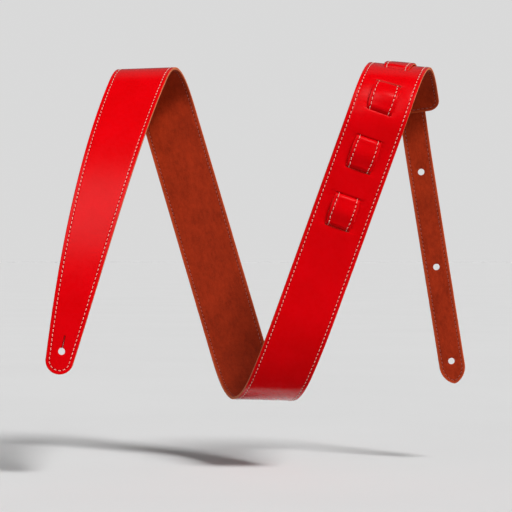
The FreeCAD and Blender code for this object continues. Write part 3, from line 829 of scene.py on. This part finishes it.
def red_leather(name):
    """Smooth red face leather, glossy at a slant: fine pebble, faint pores, painted shade in the
    needle holes and along the slit.
    """
    g = Graph(name)
    flat = g.flat()
    seam = g.add("SeparateXYZ", {0: g.add("Attribute", attribute_name="seam").outputs["Vector"]})
    cloud = g.spread(g.noise(flat, 38.0, 4.0), 0.35, 0.65)
    colour = g.mix(cloud, rgba(212, 0, 6), rgba(220, 0, 9))
    pores = g.spread(g.noise(flat, 2600.0, 2.0), 0.62, 0.8)
    colour = g.mix(g.math("MULTIPLY", pores, 0.25), colour, rgba(176, 0, 5))
    # Painted shade: the needle holes and the slit are darkened towards a near black red.
    colour = g.mix(g.math("MULTIPLY", seam.outputs["X"], 0.9), colour, rgba(60, 4, 6))
    cells = {"Vector": flat, "Scale": 1350.0, "Smoothness": 0.6}
    pebble = g.add("TexVoronoi", cells, feature="SMOOTH_F1")
    fine = g.bump(g.noise(flat, 4200.0, 2.0), 0.08, 0.00003)
    grain = g.bump(pebble.outputs["Distance"], 0.10, 0.00005, fine)
    wave = g.bump(g.noise(flat, 45.0, 1.0), 0.05, 0.0006, grain)
    rough = g.spread(g.noise(flat, 260.0, 3.0), 0.3, 0.7, 0.24, 0.32)
    facing = g.add("LayerWeight", {"Blend": 0.5}).outputs["Facing"]
    glancing = g.spread(facing, 0.37, 0.46)
    return g.finish(
        Base_Color=colour, Roughness=rough, Normal=wave, Specular_IOR_Level=0.03,
        Coat_Weight=glancing, Coat_Roughness=0.12,
    )


def suede(name, dark, light):
    """Brushed split leather: mottled tone, short nap streaks, matt with a soft sheen."""
    g = Graph(name)
    flat = g.flat()
    seam = g.add("SeparateXYZ", {0: g.add("Attribute", attribute_name="seam").outputs["Vector"]})
    cloud = g.spread(g.noise(flat, 48.0, 5.0, 0.65), 0.36, 0.64)
    streaks = g.spread(g.noise(g.stretched(flat, (0.5, 1.0, 1.0)), 420.0, 5.0, 0.75), 0.36, 0.64)
    tone = g.math("ADD", g.math("MULTIPLY", cloud, 0.4), g.math("MULTIPLY", streaks, 0.6))
    colour = g.mix(tone, dark, light)
    speckle = g.spread(g.noise(flat, 3000.0, 2.0, 0.7), 0.45, 0.75)
    colour = g.mix(g.math("MULTIPLY", speckle, 0.35), colour, rgba(186, 78, 40))
    colour = g.mix(g.math("MULTIPLY", seam.outputs["Y"], 0.8), colour, rgba(206, 88, 48))
    # Painted shade: the needle holes and the slit are darkened.
    colour = g.mix(g.math("MULTIPLY", seam.outputs["X"], 0.7), colour, rgba(50, 10, 6))
    fuzz = g.bump(g.noise(flat, 2400.0, 4.0, 0.75), 0.55, 0.00025)
    nap = g.bump(g.noise(g.stretched(flat, (0.4, 1.0, 1.0)), 900.0, 3.0, 0.7), 0.35, 0.0003, fuzz)
    return g.finish(
        Base_Color=colour, Roughness=0.92, Normal=nap, Specular_IOR_Level=0.08,
        Sheen_Weight=0.1, Sheen_Roughness=0.45, Sheen_Tint=(1.0, 0.4, 0.22, 1.0),
    )


def cut_edge(name):
    """The trimmed edge of both layers: raw orange-tan fibres, rubbed smooth."""
    g = Graph(name)
    flat = g.flat()
    fibres = g.spread(g.noise(g.stretched(flat, (0.3, 1.0, 2.0)), 1500.0, 4.0, 0.7), 0.3, 0.7)
    colour = g.mix(fibres, rgba(186, 84, 44), rgba(226, 128, 84))
    rough = g.bump(g.noise(flat, 2600.0, 3.0, 0.7), 0.4, 0.00015)
    return g.finish(Base_Color=colour, Roughness=0.7, Normal=rough, Specular_IOR_Level=0.3)


def thread(name, shade, light):
    """Waxed bonded thread with its two plies twisted together."""
    g = Graph(name)
    flat = g.flat()
    twisted = {"Vector": g.stretched(flat, (1.0, 1.6, 0.0)), "Scale": 420.0, "Distortion": 0.6}
    ply = g.add("TexWave", twisted, bands_direction="DIAGONAL")
    tone = g.spread(ply.outputs["Fac"], 0.1, 0.8)
    colour = g.mix(tone, shade, light)
    colour = g.mix(g.math("MULTIPLY", g.noise(flat, 130.0, 2.0), 0.25), colour, shade)
    twist = g.bump(ply.outputs["Fac"], 0.5, 0.00012)
    return g.finish(Base_Color=colour, Roughness=0.55, Normal=twist, Specular_IOR_Level=0.35)


RED = red_leather("red_leather")
TAIL_RED = red_leather("tail_red_leather")
SUEDE = suede("suede", rgba(122, 28, 4), rgba(166, 45, 14))
# The tail's backing is a slightly lighter copy of the suede: painted light that brightens it where it
# lies in shade under the rear crest.
TAIL_SUEDE_PAINTED_LIGHTER = suede("tail_suede", rgba(122, 27, 4), rgba(172, 48, 17))
EDGE = cut_edge("cut_edge")
TOP_THREAD = thread("top_thread", rgba(196, 140, 124), rgba(248, 220, 204))
BOBBIN_THREAD = thread("bobbin_thread", rgba(104, 36, 34), rgba(186, 104, 94))

# ---------------------------------------------------------------- camera

IMAGE_CENTRE = Vector((0.09765, 0.0, -0.16779))
CAMERA_DISTANCE = 1.79756
LENS = 139.36
SENSOR = 36.0


def add_camera():
    """A camera straight in front of the strap, level with the middle of the view."""
    data = bpy.data.cameras.new("camera")
    data.lens = LENS
    data.sensor_width = SENSOR
    camera = bpy.data.objects.new("camera", data)
    camera.location = IMAGE_CENTRE - Vector((0.0, CAMERA_DISTANCE, 0.0))
    camera.rotation_euler = (math.radians(90), 0.0, 0.0)
    bpy.context.scene.collection.objects.link(camera)
    bpy.context.scene.camera = camera


add_camera()

# ---------------------------------------------------------------- pieces

# Where the sheets are parted into the stretches that bend or ride together.
SPLIT_MIDDLE = HANDOVERS[0]
SPLIT_REAR = 850.0
SPLIT_TAIL = LENGTH + 6.0
FAR = 5000.0
# How far in from the outline the leather is rubbed down to its raw edge.
BARE_RIM = 0.2

# closed: the seam also runs across the sheet's square end.
Sheet = namedtuple("Sheet", "pattern placer closed face backing leather lining slots")
BAND = Sheet(
    band_pattern(), place_band, True, FACE, BACKING, RED, SUEDE,
    {"face": "red_leather", "backing": "suede"},
)
TAIL = Sheet(
    tail_pattern(), place_tail, False, TAIL_FACE, TAIL_BACKING, TAIL_RED, TAIL_SUEDE_PAINTED_LIGHTER,
    {"face": "tail_red_leather", "backing": "tail_suede"},
)


def group(name, sheet, span, nodes, attach):
    """The four layers of one stretch: face, backing and the stitches of both sides."""
    up, down = sheet.face, -sheet.backing
    face, backing = (sheet.leather, EDGE), (sheet.lining, EDGE)
    pieces = {
        "face": layer_mesh(name + "_face", sheet, span, up, face, BARE_RIM if sheet.closed else 0.0),
        "backing": layer_mesh(name + "_backing", sheet, span, down, backing, BARE_RIM),
        "top_thread": stitches(name + "_top_stitches", sheet, span, up, TOP_THREAD),
        "bobbin_thread": stitches(name + "_bobbin_stitches", sheet, span, down, BOBBIN_THREAD),
    }
    for layer, piece in pieces.items():
        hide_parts(*[node + "_" + layer for node in nodes])
        sheet.slots.get(layer, layer)
        attach(piece)


def over_front_fold(piece):
    """Bakes a piece's transform into its mesh; nothing bends it across the front fold."""
    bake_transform(piece)


def over_bottom_fold(piece):
    """Bakes a piece's transform into its mesh; nothing bends it across the bottom fold."""
    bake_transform(piece)


def over_tail_bend(piece):
    """Bakes a piece's transform into its mesh; nothing bends it across the tail's bend."""
    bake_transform(piece)


def with_rear_run(piece):
    """Moves a piece with the rear leg, crest and lacing."""
    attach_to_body(piece, "rear_run")


FRONT_NODES = ("front_tip", "front_curve", "front_fold")
group("band_front", BAND, (-FAR, SPLIT_MIDDLE), FRONT_NODES, over_front_fold)
group("band_middle", BAND, (SPLIT_MIDDLE, SPLIT_REAR), ("middle_run", "bottom_fold"), over_bottom_fold)
group("band_rear", BAND, (SPLIT_REAR, FAR), ("rear_run", "rear_crest"), with_rear_run)
group("tail_laced", TAIL, (-FAR, SPLIT_TAIL), ("tail_laced", "tail_crest"), with_rear_run)
group("tail_free", TAIL, (SPLIT_TAIL, FAR), ("tail_bend", "tail_end"), over_tail_bend)

# ---------------------------------------------------------------- stage and light

FLOOR_GAP = 0.06
FLOOR_HEIGHT = cad_box[0][2] - FLOOR_GAP
FLOOR_SIZE = 60.0
# The share of light that the floor sends back.
FLOOR_ALBEDO = 0.784

# name, strength, soft angle in degrees, direction of the light
SUNS = (
    ("key", 2.9, 16.0, (-0.38, 0.57, -0.78)),
    ("left_fill", 0.37, 35.0, (0.95, 1.05, -0.37)),
    ("right_fill", 0.60, 35.0, (-0.75, 0.90, -0.22)),
)
AMBIENT = 0.13
ON_FLOOR = sum(-strength * Vector(way).normalized().z for _, strength, _, way in SUNS)
# The floor's own brightness, so that no horizon shows.
BACKDROP = FLOOR_ALBEDO * (ON_FLOOR / math.pi + AMBIENT)


def floor():
    """A plain pale floor a little below the bottom fold, darker in the light it sends back up."""
    mesh = bpy.data.meshes.new("floor")
    corners = [(-1, -1), (1, -1), (1, 1), (-1, 1)]
    corners = [(x * FLOOR_SIZE, y * FLOOR_SIZE, FLOOR_HEIGHT) for x, y in corners]
    mesh.from_pydata(corners, [], [(0, 1, 2, 3)])
    g = Graph("pale_floor")
    place_on_floor = g.add("TexCoord").outputs["Object"]
    tone = g.spread(g.noise(place_on_floor, 3.0, 3.0), 0.3, 0.7)
    colour = g.mix(tone, rgba(228, 228, 228), rgba(230, 230, 230))
    sent_back = g.add("LightPath").outputs["Is Diffuse Ray"]
    colour = g.mix(sent_back, colour, rgba(184, 184, 184))
    mesh.materials.append(g.finish(Base_Color=colour, Roughness=0.85, Specular_IOR_Level=0.0))
    add_object("floor", mesh)


def sun(name, strength, soft_angle, toward):
    """A far soft lamp that shines along a direction."""
    data = bpy.data.lights.new(name, "SUN")
    data.energy = strength
    data.angle = math.radians(soft_angle)
    lamp = bpy.data.objects.new(name, data)
    lamp.rotation_euler = Vector(toward).to_track_quat("-Z", "Y").to_euler()
    bpy.context.scene.collection.objects.link(lamp)


def sheen_lamp(power, size, location, target):
    """A square lamp in front of the strap that only shows as a soft gloss on its leather."""
    data = bpy.data.lights.new("sheen", "AREA")
    data.energy = power
    data.size = size
    lamp = bpy.data.objects.new("sheen", data)
    lamp.location = location
    toward = Vector(target) - Vector(location)
    lamp.rotation_euler = toward.to_track_quat("-Z", "Y").to_euler()
    lamp.visible_diffuse = False
    lamp.visible_camera = False
    bpy.context.scene.collection.objects.link(lamp)


def surroundings():
    """Even pale light from all round; the backdrop itself is as bright as the lit floor."""
    world = bpy.data.worlds.new("studio")
    world.use_nodes = True
    tree = world.node_tree
    background = tree.nodes["Background"]
    background.inputs["Color"].default_value = (1.0, 1.0, 1.0, 1.0)
    seen = tree.nodes.new("ShaderNodeLightPath").outputs["Is Camera Ray"]
    strength = tree.nodes.new("ShaderNodeMapRange")
    strength.inputs["To Min"].default_value = AMBIENT
    strength.inputs["To Max"].default_value = BACKDROP
    tree.links.new(seen, strength.inputs["Value"])
    tree.links.new(strength.outputs["Result"], background.inputs["Strength"])
    bpy.context.scene.world = world


floor()
surroundings()
for lamp in SUNS:
    sun(*lamp)
sheen_lamp(power=18.0, size=0.7, location=(-0.15, -1.1, 0.70), target=(0.0, 0.0, -0.12))
bpy.context.scene.view_settings.view_transform = "Standard"
